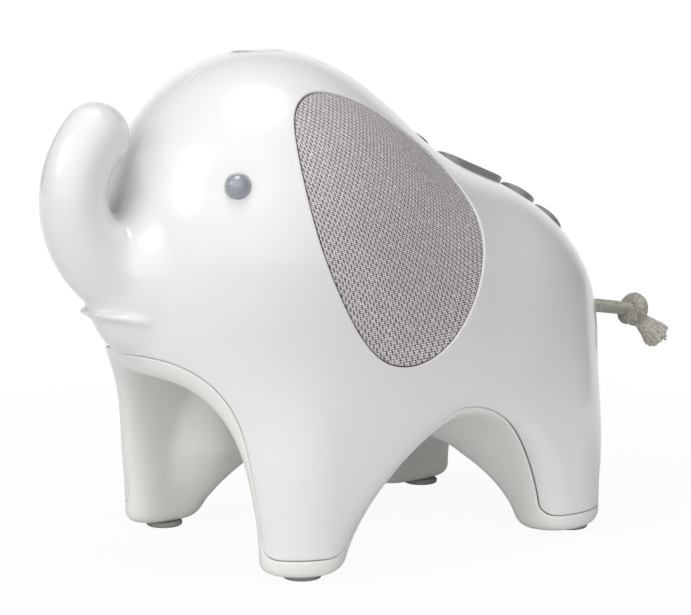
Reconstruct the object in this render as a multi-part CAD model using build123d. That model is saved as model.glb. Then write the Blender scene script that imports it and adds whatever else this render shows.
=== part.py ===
"""Nightlight soother: a hollow standing elephant with cloth ears, a rope tail and buttons down its back.

Two white shells meet on the plane Y = 0 and close on an underbody that makes the belly vault and the
soles.  The trunk points to -X, the tail to +X, and the four foot pads stand on Z = 0.  Millimetres.
"""
import os
from math import cos, hypot, pi, radians, sin, sqrt, tan

from build123d import *

# Stance: the middle of the four feet, and the distances between their centres
stance_x = 15.0
wheelbase = 112.0
track = 84.0

# Outer form: an ellipsoid head and torso on a skirt with rounded corners, blended together
head_x, head_z = -27.4, 106.3
head_radii = (51.5, 54.7, 58.4)
torso_x, torso_z = 17.9, 67.7
torso_radii = (89.2, 54.3, 59.0)
skirt_x, skirt_top = 13.2, 51.6
skirt_half_length, skirt_half_width = 72.2, 54.9
skirt_corner = 22.9
head_blend, skirt_blend, skirt_top_blend = 38.0, 28.7, 31.8
crown_flat = 0.4
section_points, section_levels = 16, 14
skin_tolerance = 1e-7

# Trunk: it leaves the face level and curls up round a point above it, over a lip and a round chin
trunk_x, trunk_z = -72.0, 115.0
trunk_curl, trunk_opening = 20.6, 8.7
trunk_start_angle, trunk_end_angle = -90.0, 54.0
trunk_root_radius, trunk_tip_radius = 17.5, 10.6
trunk_taper_power, trunk_opening_power = 3.0, 1.6
trunk_flare_radius, trunk_flare_back = 21.0, 15.0
trunk_stations = 9
lip_x, lip_z = -77.0, 83.3
lip_radii = (17.6, 16.0, 4.2)
chin_x, chin_z = -72.0, 84.0
chin_radii = (17.5, 15.7, 16.0)

# Leg arches: one runs across under the belly and one runs from chest to rump
side_arch_x = 13.0
side_arch_front, side_arch_rear, side_arch_top = 42.0, 37.0, 46.0
side_front_roundness, side_rear_roundness = 1.5, 2.3
front_arch_half, front_arch_top, front_arch_roundness = 35.0, 61.0, 3.0
arch_points = 8

# Walls, seams and clearances
wall = 2.2
side_seam, front_seam = 4.0, 6.0
foot_band = 6.3
seam_gap = 0.25
fit_gap = 0.2
close_gap = 0.1
overrun = 60.0

# Feet: rubber pads under the soles hide the screws that hold the underbody
pad_radius, pad_height, pad_edge = 6.2, 1.8, 0.7
sole_round = 3.0
foot_boss_radius = 5.2
screw_head_radius, screw_head_height = 2.7, 2.0
screw_radius, screw_length = 1.4, 20.0
screw_seat = 3.2
post_radius, post_height = 4.0, 26.0
rib_thickness = 2.0

# Ears: the outline box seen from the side, a stretched cloth and the slotted grille behind it
ear_front_x, ear_low_z = -44.4, 66.3
ear_width, ear_height = 73.5, 85.7
ear_shares = (
    (0.468, 0.000), (0.664, 0.053), (0.823, 0.180), (0.937, 0.335), (1.000, 0.515), (0.951, 0.638),
    (0.829, 0.749), (0.648, 0.846), (0.478, 0.934), (0.318, 0.987), (0.182, 1.000), (0.074, 0.948),
    (0.011, 0.813), (0.001, 0.662), (0.030, 0.475), (0.116, 0.271), (0.244, 0.097), (0.346, 0.023),
)
ear_gap = 0.4
cloth_sink, cloth_thickness = 0.4, 0.8
grille_back = 3.4
slot_height, slot_pitch, slot_margin, slot_bridge = 5.0, 12.0, 9.0, 6.0

# Eyes: round beads on stems, each in a shallow dish in the face
eye_x, eye_z = -61.5, 124.7
eye_radius, eye_proud, eye_seat = 4.25, 3.0, 1.0
eye_stem_radius, eye_stem_length = 2.0, 4.4
dish_radius, dish_depth = 8.5, 0.8

# Buttons: a row down the spine, all pressed square to the circuit board below them
spine_x, spine_z, spine_tilt = 66.0, 117.5, 29.0
button_width, long_button_length = 13.6, 28.0
button_places = {"light": -36.5, "melody": -8.5, "louder": 16.0, "softer": 32.6}
button_prouds = {"light": 1.5, "melody": 2.4, "louder": 2.6, "softer": 3.6}
button_gap = 0.35
button_flange, button_flange_thickness = 1.3, 1.2
button_travel, button_free = 1.0, 0.3
board_length, board_width, board_thickness = 92.0, 22.0, 1.6
board_depth, board_middle = 15.0, -2.0
switch_side, switch_height, switch_stem_radius = 6.0, 3.4, 1.7
standoff_radius, standoff_inset = 2.4, 3.4
board_screw_radius, board_screw_length = 1.0, 6.0
board_screw_head_radius, board_screw_head_height = 1.9, 1.3
chip_side, chip_height = 10.0, 1.6
capacitor_radius, capacitor_height, capacitor_offset = 3.2, 8.0, 20.0

# Projector: a round window in the crown, its lens, reflector and lamp board in a tube below
window_x, window_radius = -29.5, 9.6
bezel_wall, bezel_sink, bezel_flange, bezel_depth = 1.5, 0.1, 3.0, 6.5
tube_length = 25.0
lens_sink, lens_edge, lens_crown = 4.0, 1.6, 1.8
reflector_drop, reflector_low_radius, reflector_wall = 3.0, 4.0, 0.9
lamp_board_thickness, lamp_radius, lamp_height = 1.6, 2.5, 2.2

# Speaker: a round driver behind the left ear, sealed to the grille by a foam ring
speaker_x, speaker_y, speaker_z = -8.0, -34.0, 107.0
speaker_radius, gasket_width, flange_thickness = 20.0, 3.2, 1.5
basket_depth, basket_low_radius, basket_wall = 9.0, 11.0, 1.2
cone_depth, cone_low_radius, cone_wall = 6.0, 5.0, 0.6
dust_cap_rise = 2.5
magnet_radius, magnet_height = 12.0, 7.0

# Batteries: three cells side by side above the belly door
cell_radius, cell_length, nub_radius, nub_height = 7.1, 49.0, 2.7, 1.3
cell_count, cell_gap = 3, 0.5
box_wall, box_roof = 1.8, 1.8
battery_x = 10.0
box_lift = 3.2
contact_thickness, contact_half, spring_length = 0.6, 5.0, 3.6
spring_wide_radius, spring_tip_radius = 3.8, 2.6
lug_length, lug_width, lug_thickness = 13.0, 14.0, 5.0

# Belly door: a patch of the vault that tilts down on two tongues once its screw is out
door_front_margin, door_rear_margin = 6.5, 14.5
door_gap = 0.3
tongue_place, tongue_width, tongue_length, tongue_thickness = 12.0, 7.0, 2.0, 1.4
tongue_foot, tongue_lift = 2.5, 0.45
door_boss_radius, door_boss_height = 4.6, 4.4
door_screw_radius, door_screw_head_radius, door_screw_head_height = 1.5, 2.9, 2.0
door_screw_reach, door_screw_seat, door_screw_play = 4.0, 2.4, 0.5
drive_width, drive_depth = 0.9, 1.0

# Tail: cotton rope out of a plug in the rump, a knot on it and a frayed end
rope_diameter = 5.0
rope_route = [(106.0, 0, 71.4), (115.9, 0, 70.2), (127.6, 0, 67.8), (138.2, 0, 64.8)]
rope_arc_share = 0.45
tail_plug_flange, tail_plug_thickness, plug_gap = 3.0, 2.0, 0.35
knot_radii, knot_lean = (4.6, 5.4, 6.2), -16.0
knot_band_radius, knot_band_thickness = 4.1, 2.4
tuft_start, tuft_end = (141.0, 0, 61.4), (151.6, 0, 53.4)
tuft_start_radius, tuft_middle_radius, tuft_end_radius = 2.5, 3.9, 5.2
tuft_middle_share = 0.45

sole_z = pad_height
crown_z = head_z + head_radii[2]


def ellipsoid_gap(point, centre, radii):
    """Distance of a point outside an ellipsoid, negative inside it."""
    offset = [p - c for p, c in zip(point, centre)]
    near = sqrt(sum((o / r) ** 2 for o, r in zip(offset, radii)))
    slope = sqrt(sum((o / r / r) ** 2 for o, r in zip(offset, radii)))
    return near * (near - 1) / slope if slope else -min(radii)


def blend(first, second, reach):
    """The lesser of two distances, with a fillet of the given reach where they meet."""
    share = min(max((1 + (second - first) / reach) / 2, 0), 1)
    return second + (first - second) * share - reach * share * (1 - share)


def body_gap(x, y, z):
    """Distance outside the elephant's body, without its trunk and before its leg arches are cut."""
    head = ellipsoid_gap((x, y, z), (head_x, 0, head_z), head_radii)
    torso = ellipsoid_gap((x, y, z), (torso_x, 0, torso_z), torso_radii)
    along = abs(x - skirt_x) - skirt_half_length + skirt_corner
    across = abs(y) - skirt_half_width + skirt_corner
    skirt = hypot(max(along, 0), max(across, 0)) + min(max(along, across), 0) - skirt_corner
    skirt = -blend(-skirt, skirt_top - z, skirt_top_blend)
    return blend(blend(head, torso, head_blend), skirt, skirt_blend)


def reach_to_skin(start, step, inset):
    """How many steps from a point inside the body its inset skin lies."""
    near, far = 0.0, 1.0
    while body_gap(*(s + far * d for s, d in zip(start, step))) + inset < 0:
        near, far = far, far * 2
    while far - near > skin_tolerance:
        middle = (near + far) / 2
        inside = body_gap(*(s + middle * d for s, d in zip(start, step))) + inset < 0
        near, far = (middle, far) if inside else (near, middle)
    return near


def skin_point(x, z):
    """The place on the body's right side at this length and height."""
    return Vector(x, reach_to_skin((x, 0, z), (0, 1, 0), 0), z)


def skin_normal(point):
    """The outward direction at a place on the skin."""
    step = close_gap
    slopes = []
    for axis in (Vector(step, 0, 0), Vector(0, step, 0), Vector(0, 0, step)):
        slopes.append(body_gap(*(point + axis)) - body_gap(*(point - axis)))
    return Vector(*slopes).normalized()


def body_section(z, inset):
    """One level slice through the inset body."""
    front = head_x - reach_to_skin((head_x, 0, z), (-1, 0, 0), inset)
    rear = head_x + reach_to_skin((head_x, 0, z), (1, 0, 0), inset)
    middle, half = (front + rear) / 2, (rear - front) / 2
    side = reach_to_skin((middle, 0, z), (0, 1, 0), inset)
    points = []
    for index in range(section_points):
        turn = 2 * pi * (index + 0.5) / section_points
        step = (half * cos(turn), side * sin(turn), 0)
        share = reach_to_skin((middle, 0, z), step, inset)
        points.append((middle + share * step[0], share * step[1], z))
    return make_face(Spline(*points, periodic=True))


def body_form(inset, low_z=sole_z):
    """The solid body drawn in by an inset, from a level up to its crown."""
    top_z = crown_z - inset - crown_flat
    turns = [pi / 2 * index / (section_levels - 1) for index in range(section_levels)]
    levels = [low_z + (top_z - low_z) * sin(turn) for turn in turns]
    return loft([body_section(z, inset) for z in levels])


def rounded_body():
    """The whole body with its sole edges rounded."""
    top_z = crown_z - crown_flat
    faces = []
    for turn in (0, pi / 6, pi / 3):
        faces.append(body_section(sole_z + sole_round * (1 - cos(turn)), sole_round * (1 - sin(turn))))
    low_z = sole_z + sole_round
    turns = [pi / 2 * index / (section_levels - 1) for index in range(section_levels)]
    faces += [body_section(low_z + (top_z - low_z) * sin(turn), 0) for turn in turns]
    return loft(faces)


def trunk_place(share):
    """Middle line point and radius of the trunk, from its root at 0 to its tip at 1."""
    angle = radians(trunk_start_angle + (trunk_end_angle - trunk_start_angle) * share)
    bend = trunk_curl + trunk_opening * share**trunk_opening_power
    spread = (trunk_root_radius - trunk_tip_radius) * (1 - share) ** trunk_taper_power
    return Vector(trunk_x - bend * cos(angle), 0, trunk_z + bend * sin(angle)), trunk_tip_radius + spread


def trunk_form(inset):
    """The trunk drawn in by an inset, with its flared root inside the head and a round tip."""
    root, _ = trunk_place(0)
    flare = Plane(origin=root + (trunk_flare_back, 0, 0), z_dir=(-1, 0, 0))
    faces = [flare * Circle(trunk_flare_radius - inset)]
    nudge = 1 / trunk_stations / trunk_stations
    for index in range(trunk_stations):
        share = index / (trunk_stations - 1)
        place, radius = trunk_place(share)
        heading = trunk_place(min(share + nudge, 1))[0] - trunk_place(max(share - nudge, 0))[0]
        faces.append(Plane(origin=place, x_dir=(0, 1, 0), z_dir=heading) * Circle(radius - inset))
    tip, radius = trunk_place(1)
    return loft(faces) + Pos(*tip) * Sphere(radius - inset)


def arch_curve(reach, top, roundness):
    """Points of a quarter arch from its foot on the floor to its top."""
    turns = [pi / 2 * index / (arch_points - 1) for index in range(arch_points)]
    power = 2 / roundness
    return [(reach * abs(cos(turn)) ** power, top * sin(turn) ** power) for turn in turns]


def arch_face(low_reach, low_roundness, high_reach, high_roundness, top):
    """An arch standing on the floor, with its feet carried down past it."""
    high = arch_curve(high_reach, top, high_roundness)
    low = [(-across, height) for across, height in arch_curve(low_reach, top, low_roundness)]
    high[-1] = low[-1] = (0, top)
    foot = Polyline(high[0], (high_reach, -overrun), (-low_reach, -overrun), low[0])
    return make_face([Spline(*high), Spline(*low[::-1]), foot])


def arches(side_extra, front_extra):
    """The open space between the legs, widened by an amount at each arch."""
    side = arch_face(
        side_arch_front + side_extra, side_front_roundness,
        side_arch_rear + side_extra, side_rear_roundness, side_arch_top + side_extra,
    )
    half = front_arch_half + front_extra
    front = arch_face(half, front_arch_roundness, half, front_arch_roundness, front_arch_top + front_extra)
    across = Plane(origin=(side_arch_x, 0, 0), x_dir=(1, 0, 0), z_dir=(0, -1, 0)) * side
    along = Plane(origin=(stance_x, 0, 0), x_dir=(0, 1, 0), z_dir=(1, 0, 0)) * front
    side_run = skirt_half_width + overrun
    front_run = torso_radii[0] + overrun
    return extrude(across, amount=side_run, both=True) + extrude(along, amount=front_run, both=True)


def vault_height(y, extra):
    """Height of the chest-to-rump arch over a place beside the middle."""
    share = abs(y) / (front_arch_half + extra)
    return (front_arch_top + extra) * (1 - share**front_arch_roundness) ** (1 / front_arch_roundness)


def level_block(low_z, high_z):
    """A block that holds the whole elephant between two levels."""
    side = torso_radii[0] * 2 + overrun * 2
    middle = (low_z + high_z) / 2
    return Pos(stance_x, 0, middle) * Box(side, side, high_z - low_z)


def right_block(gap):
    """Everything on the right of the parting plane, short of it by a gap."""
    side = torso_radii[0] * 2 + overrun * 2
    return Pos(stance_x, gap + side / 2, crown_z / 2) * Box(side, side, side)


def left_of(piece):
    """The mirror image of a piece from the right side."""
    return mirror(piece, about=Plane.XZ)


def ear_face(grow):
    """The ears' outline seen from the left, grown by an amount."""
    width, height = ear_width + 2 * grow, ear_height + 2 * grow
    points = [(ear_front_x - grow + u * width, ear_low_z - grow + v * height) for u, v in ear_shares]
    return make_face(Spline(*points, periodic=True))


def ear_prism(face):
    """A bar that runs out through the right side of the head in an ear's outline."""
    return extrude(Plane(origin=(0, 0, 0), x_dir=(1, 0, 0), z_dir=(0, -1, 0)) * face, -skirt_half_width * 2)


def tube(outer_radius, inner_radius, length):
    """A plain ring or sleeve standing on its own origin."""
    rise = (Align.CENTER, Align.CENTER, Align.MIN)
    return Cylinder(outer_radius, length, align=rise) - Cylinder(inner_radius, length, align=rise)


def rod(radius, length):
    """A plain rod standing on its own origin."""
    return Cylinder(radius, length, align=(Align.CENTER, Align.CENTER, Align.MIN))


def group(solids):
    """Separate solids kept together in one node."""
    return Compound(children=[solid for piece in solids for solid in piece.solids()])


foot_places = {
    "front_left": (stance_x - wheelbase / 2, -track / 2),
    "front_right": (stance_x - wheelbase / 2, track / 2),
    "rear_left": (stance_x + wheelbase / 2, -track / 2),
    "rear_right": (stance_x + wheelbase / 2, track / 2),
}
nodes = {}

# The hollow body, cut along the seam into an underbody and an upper shell, whose right half comes first
outside = rounded_body() - arches(0, 0)
cavity = body_form(wall) - arches(wall, wall) - level_block(-overrun, sole_z + wall)
seam_z = sole_z + foot_band
lower_zone = arches(side_seam, front_seam) + level_block(-overrun, seam_z)
upper_zone = arches(side_seam + seam_gap, front_seam + seam_gap) + level_block(-overrun, seam_z + seam_gap)
underbody = (outside & lower_zone) - cavity
right_side = right_block(close_gap / 2)
shell = (outside - upper_zone) & right_side
lip = Pos(lip_x, 0, lip_z) * scale(Sphere(1), by=lip_radii)
chin = Pos(chin_x, 0, chin_z) * scale(Sphere(1), by=chin_radii)
shell += (trunk_form(0) + lip + chin) & right_side
shell -= [cavity & right_block(0), trunk_form(wall)]
shell_cuts = []
shell_adds = []

# Feet: bosses in the soles, posts in the legs, screws up through both and pads over the heads
screws, bosses, foot_holes = [], [], []
for name, (x, y) in foot_places.items():
    head = Pos(x, y, sole_z + screw_seat - screw_head_height) * rod(screw_head_radius, screw_head_height)
    screws.append(head + Pos(x, y, sole_z + screw_seat) * rod(screw_radius, screw_length))
    pad = Pos(x, y, 0) * rod(pad_radius, pad_height)
    nodes["foot_pad_" + name] = fillet(pad.edges().group_by(Axis.Z)[0], pad_edge)
    foot = Pos(x, y, sole_z)
    bosses.append(foot * rod(foot_boss_radius, foot_band))
    head_hole = Pos(0, 0, -screw_seat) * rod(screw_head_radius + fit_gap, screw_seat * 2)
    foot_holes.append(foot * (head_hole + rod(screw_radius + fit_gap, foot_band * 2)))
    if y < 0:
        continue
    post_foot = Pos(x, y, seam_z + seam_gap)
    rib_length = min(skin_point(x, seam_z).Y, skin_point(x, seam_z + post_height).Y) - wall / 2 - y
    rib = Box(rib_thickness, rib_length, post_height, align=(Align.CENTER, Align.MIN, Align.MIN))
    shell_adds.append(post_foot * (rod(post_radius, post_height) + rib))
    shell_cuts.append(post_foot * rod(screw_radius + close_gap, post_height))
nodes["foot_screws"] = group(screws)
underbody = underbody + bosses - foot_holes

# Ears: an opening in each shell, cloth flush in it and a slotted grille behind the cloth
shell_cuts.append(ear_prism(ear_face(0)))
cloth_back = cloth_sink + cloth_thickness
ear_cloth = (ear_prism(ear_face(-ear_gap)) & body_form(cloth_sink)) - body_form(cloth_back)
ear_middle_x = ear_front_x + ear_width / 2
row_count = int((ear_height - 2 * slot_margin) // slot_pitch)
first_z = ear_low_z + (ear_height - (row_count - 1) * slot_pitch) / 2
rows = []
for row in range(row_count):
    rows.append(Pos(ear_middle_x, first_z + row * slot_pitch) * Rectangle(ear_width, slot_height))
bridge = Pos(ear_middle_x, ear_low_z + ear_height / 2) * Rectangle(slot_bridge, ear_height)
slots = (Sketch() + rows) & ear_face(-slot_margin)
grille_prism = ear_prism(ear_face(-ear_gap) - (slots - bridge))
ear_grille = (grille_prism & body_form(cloth_back + close_gap)) - body_form(grille_back)
nodes["ear_cloth_right"] = ear_cloth
nodes["ear_cloth_left"] = left_of(ear_cloth)
nodes["ear_grille_right"] = ear_grille
nodes["ear_grille_left"] = left_of(ear_grille)

# Eyes: a dish and a stepped hole in each cheek, filled by a bead on its stem
dish_ball = (dish_radius**2 + dish_depth**2) / (2 * dish_depth)
eye_place = skin_point(eye_x, eye_z)
cheek = Plane(origin=eye_place, x_dir=(0, 0, 1), z_dir=skin_normal(eye_place))
shell_cuts.append(cheek * Pos(0, 0, dish_ball - dish_depth) * Sphere(dish_ball))
shell_cuts.append(cheek * Pos(0, 0, -eye_seat - close_gap) * rod(eye_radius + fit_gap, overrun))
shell_cuts.append(cheek * Pos(0, 0, -eye_stem_length - fit_gap) * rod(eye_stem_radius + fit_gap, overrun))
bead = Pos(0, 0, eye_proud - eye_radius) * Sphere(eye_radius)
bead &= Pos(0, 0, -eye_seat) * rod(overrun, overrun)
bead += Pos(0, 0, -eye_stem_length) * rod(eye_stem_radius, eye_stem_length)
nodes["eye_right"] = cheek * bead
nodes["eye_left"] = left_of(cheek * bead)

# Buttons: slots down the spine, flanged buttons in them and the switches and board below
tilt = radians(spine_tilt)
spine = Plane(origin=(spine_x, 0, spine_z), x_dir=(cos(tilt), 0, -sin(tilt)), z_dir=(sin(tilt), 0, cos(tilt)))
flange_skin = body_form(wall + fit_gap)
board_top = -board_depth
switches = []


def button_face(length, grow):
    """Round-ended button outline, grown all round by an amount."""
    if length > button_width:
        return SlotOverall(length + 2 * grow, button_width + 2 * grow)
    return Circle(button_width / 2 + grow)


for name, along in button_places.items():
    length = long_button_length if name == "melody" else button_width
    roofs = []
    for side in (-1, 1):
        start = spine.from_local_coords(Vector(along + side * (length / 2 + button_flange), 0, board_top))
        roofs.append(reach_to_skin(tuple(start), tuple(spine.z_dir), wall + fit_gap))
    low = board_top + min(roofs) - button_flange_thickness
    stem = extrude(Pos(along, 0, low) * button_face(length, 0), overrun)
    flange = extrude(Pos(along, 0, low) * button_face(length, button_flange), overrun)
    button_skin = body_form(-button_prouds[name])
    nodes["button_" + name] = ((spine * stem) & button_skin) + ((spine * flange) & flange_skin)
    slot_low = low - button_flange_thickness
    shell_cuts.append(spine * extrude(Pos(along, 0, slot_low) * button_face(length, button_gap), overrun))
    switch = Pos(along, 0, board_top) * Box(
        switch_side, switch_side, switch_height, align=(Align.CENTER, Align.CENTER, Align.MIN)
    )
    stem_length = low - button_travel - button_free - board_top
    switches.append(spine * (switch + Pos(along, 0, board_top) * rod(switch_stem_radius, stem_length)))
nodes["tact_switches"] = group(switches)

# Main board: hung from four standoffs in the shells, with its chip and capacitors underneath
board = Box(board_length, board_width, board_thickness)
board = Pos(board_middle, 0, board_top - board_thickness / 2) * board
board_screws = []
for along in (-1, 1):
    for across in (-1, 1):
        corner = Pos(
            board_middle + along * (board_length / 2 - standoff_inset),
            across * (board_width / 2 - standoff_inset), board_top,
        )
        if across > 0:
            start = spine.from_local_coords(Vector(*corner.position))
            rise_to_wall = reach_to_skin(tuple(start), tuple(spine.z_dir), wall / 2)
            shell_adds.append(spine * corner * rod(standoff_radius, rise_to_wall))
            shell_cuts.append(spine * corner * rod(board_screw_radius + close_gap, board_screw_length))
        board -= corner * Pos(0, 0, -board_thickness) * rod(board_screw_radius + close_gap, board_thickness)
        head = corner * Pos(0, 0, -board_thickness - board_screw_head_height)
        screw = head * rod(board_screw_head_radius, board_screw_head_height)
        board_screws.append(spine * (screw + head * rod(board_screw_radius, board_screw_length)))
nodes["main_board"] = spine * board
nodes["board_screws"] = group(board_screws)
board_low = board_top - board_thickness
chip = Pos(board_middle, 0, board_low - chip_height / 2) * Box(chip_side, chip_side, chip_height)
parts_on_board = [spine * chip]
for side in (-1, 1):
    place = Pos(board_middle + side * capacitor_offset, 0, board_low - capacitor_height)
    parts_on_board.append(spine * place * rod(capacitor_radius, capacitor_height))
nodes["board_parts"] = group(parts_on_board)

# Projector: bezel with its light tube, domed lens, reflector, lamp and lamp board
window_z = reach_to_skin((window_x, 0, 0), (0, 0, 1), 0)
window = Pos(window_x, 0, window_z)
bezel_radius = window_radius - fit_gap
bore_radius = bezel_radius - bezel_wall
shell_cuts.append(window * Pos(0, 0, -bezel_depth - overrun / 2) * rod(window_radius, overrun))
bezel = window * Pos(0, 0, -tube_length) * rod(bezel_radius, tube_length - bezel_sink)
flange_radius = window_radius + bezel_flange
flange_z = min(
    reach_to_skin((window_x + side * flange_radius, 0, 0), (0, 0, 1), wall + close_gap) for side in (-1, 1)
)
bezel += Pos(window_x, 0, flange_z - bezel_wall) * rod(flange_radius, bezel_wall)
nodes["projector_bezel"] = bezel - window * Pos(0, 0, -tube_length) * rod(bore_radius, overrun)
lens_radius = bore_radius - close_gap
lens_ball = (lens_radius**2 + lens_crown**2) / (2 * lens_crown)
lens_seat = window * Pos(0, 0, -lens_sink - lens_edge)
lens_dome = lens_seat * Pos(0, 0, lens_edge + lens_crown - lens_ball) * Sphere(lens_ball)
nodes["projector_lens"] = lens_dome & (lens_seat * rod(lens_radius, overrun))
reflector_top = -lens_sink - lens_edge - close_gap
reflector_length = tube_length - lamp_board_thickness + reflector_top - reflector_drop
reflector_place = window * Pos(0, 0, reflector_top - reflector_length)
rise = (Align.CENTER, Align.CENTER, Align.MIN)
cup = Cone(reflector_low_radius, lens_radius, reflector_length, align=rise)
cup -= Cone(
    reflector_low_radius - reflector_wall, lens_radius - reflector_wall, reflector_length, align=rise
)
nodes["projector_reflector"] = reflector_place * cup
lamp_board_place = window * Pos(0, 0, -tube_length)
nodes["lamp_board"] = lamp_board_place * rod(lens_radius, lamp_board_thickness)
lamp = rod(lamp_radius, lamp_height) & Pos(0, 0, lamp_height - lamp_radius) * Sphere(lamp_radius)
nodes["lamp"] = lamp_board_place * Pos(0, 0, lamp_board_thickness) * lamp

# Speaker behind the left ear, facing out through the grille
speaker = Plane(origin=(speaker_x, speaker_y, speaker_z), x_dir=(1, 0, 0), z_dir=(0, -1, 0))
inner_radius = speaker_radius - gasket_width
ring = speaker * Pos(0, 0, flange_thickness) * tube(speaker_radius, inner_radius, overrun)
nodes["speaker_gasket"] = ring & body_form(grille_back + close_gap)
basket = Pos(0, 0, -basket_depth) * Cone(basket_low_radius, inner_radius, basket_depth, align=rise)
basket -= Pos(0, 0, -basket_depth + basket_wall) * Cone(
    basket_low_radius - basket_wall, inner_radius - basket_wall, basket_depth, align=rise
)
basket += tube(speaker_radius, inner_radius - basket_wall, flange_thickness)
nodes["speaker_basket"] = speaker * basket
cone_radius = inner_radius - basket_wall - fit_gap
cone = Pos(0, 0, flange_thickness - cone_depth) * Cone(cone_low_radius, cone_radius, cone_depth, align=rise)
cone -= Pos(0, 0, flange_thickness - cone_depth + cone_wall) * Cone(
    cone_low_radius, cone_radius, cone_depth, align=rise
)
cap_ball = (cone_low_radius**2 + dust_cap_rise**2) / (2 * dust_cap_rise)
cap_place = Pos(0, 0, flange_thickness - cone_depth + cone_wall / 2)
dust_cap = Pos(0, 0, dust_cap_rise - cap_ball) * Sphere(cap_ball) & rod(cone_low_radius, dust_cap_rise)
nodes["speaker_cone"] = speaker * (cone + cap_place * dust_cap)
magnet = Pos(0, 0, -basket_depth - magnet_height) * rod(magnet_radius, magnet_height)
nodes["speaker_magnet"] = speaker * magnet

# Battery box: open to the belly, its long walls resting on the vault beside the door
cell_pitch = 2 * cell_radius + cell_gap
box_half_width = (cell_count * cell_pitch + cell_gap) / 2
box_inner_length = cell_length + nub_height + spring_length + 2 * contact_thickness + 2 * fit_gap
box_low_z = front_arch_top + box_lift
cell_z = box_low_z + cell_radius + cell_gap
box_roof_z = cell_z + cell_radius + cell_gap
box_length = box_inner_length + 2 * box_wall
box_middle_z = (box_roof_z + box_roof) / 2
box = Box(box_length, 2 * (box_half_width + box_wall), box_roof_z + box_roof)
box = Pos(battery_x, 0, box_middle_z) * box
box -= Pos(battery_x, 0, box_roof_z / 2) * Box(box_inner_length, 2 * box_half_width, box_roof_z)
box -= Pos(battery_x, 0, box_low_z / 2) * Box(2 * box_length, 2 * box_half_width, box_low_z)
lug_x = battery_x + box_length / 2 + lug_length / 2
lug_low_z = front_arch_top + wall + door_boss_height + fit_gap
box += Pos(lug_x, 0, lug_low_z + lug_thickness / 2) * Box(lug_length, lug_width, lug_thickness)
screw_x = battery_x + box_length / 2 + door_boss_radius + door_gap
box -= Pos(screw_x, 0, 0) * rod(door_screw_radius + door_screw_play, overrun * 2)
nodes["battery_box"] = box - arches(wall + fit_gap, wall + fit_gap)

# Cells lie in turn, with a plate at each nub and a coned spring at each base
contacts = []
for index in range(cell_count):
    y = (index - (cell_count - 1) / 2) * cell_pitch
    facing = 1 if index % 2 else -1
    bay = Pos(battery_x, y, cell_z) * (Rot(0, 90, 0) if facing > 0 else Rot(0, -90, 0))
    base = -box_inner_length / 2 + contact_thickness + spring_length + fit_gap
    cell = Pos(0, 0, base) * rod(cell_radius, cell_length)
    cell += Pos(0, 0, base + cell_length) * rod(nub_radius, nub_height)
    nodes["battery_%d" % (index + 1)] = bay * cell
    plate = Box(2 * contact_half, 2 * contact_half, contact_thickness, align=rise)
    spring = Cone(spring_wide_radius, spring_tip_radius, spring_length, align=rise)
    spring = Pos(0, 0, contact_thickness) * spring
    contacts.append(bay * Pos(0, 0, -box_inner_length / 2) * (plate + spring))
    contacts.append(bay * Pos(0, 0, box_inner_length / 2 - contact_thickness) * plate)
nodes["battery_contacts"] = group(contacts)

# Belly door: a patch cut out of the vault, with tongues at its front and a screw boss at its rear
door_front = battery_x - box_length / 2 - door_front_margin
door_rear = battery_x + box_length / 2 + door_rear_margin
door_half_width = box_half_width - door_gap
door_middle = (door_front + door_rear) / 2


def door_bar(grow):
    """An upright bar in the door's outline, grown all round by an amount."""
    length, width = door_rear - door_front + 2 * grow, 2 * (door_half_width + grow)
    return Pos(door_middle, 0, front_arch_top / 2) * Box(length, width, front_arch_top * 2)


door = underbody & door_bar(0)
underbody -= door_bar(door_gap)
for side in (-1, 1):
    top = vault_height(tongue_place - tongue_width / 2, wall) + tongue_lift
    place = Pos(door_front, side * tongue_place, 0)
    tongue = place * Pos((tongue_foot - tongue_length) / 2, 0, top + tongue_thickness / 2) * Box(
        tongue_foot + tongue_length, tongue_width, tongue_thickness
    )
    foot_low = vault_height(tongue_place + tongue_width / 2, 0)
    foot = place * Pos(tongue_foot / 2, 0, (foot_low + top) / 2) * Box(
        tongue_foot, tongue_width, top - foot_low + tongue_thickness / 2
    )
    door += tongue + (foot - arches(wall / 2, wall / 2))
boss_z = front_arch_top + wall / 2
door += Pos(screw_x, 0, boss_z) * rod(door_boss_radius, wall / 2 + door_boss_height)
door -= Pos(screw_x, 0, 0) * rod(door_screw_head_radius + fit_gap, front_arch_top + door_screw_seat)
door -= Pos(screw_x, 0, 0) * rod(door_screw_radius + fit_gap, overrun * 2)
nodes["battery_door"] = door
screw_top = front_arch_top + wall + door_boss_height + door_screw_reach
seat_z = front_arch_top + door_screw_seat
screw = Pos(screw_x, 0, seat_z - door_screw_head_height) * rod(door_screw_head_radius, door_screw_head_height)
screw += Pos(screw_x, 0, seat_z) * rod(door_screw_radius, screw_top - seat_z)
for turn in (0, 90):
    drive = Box(2 * door_screw_head_radius - drive_width, drive_width, 2 * drive_depth)
    screw -= Pos(screw_x, 0, seat_z - door_screw_head_height) * Rot(0, 0, turn) * drive
nodes["door_screw"] = screw

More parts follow.
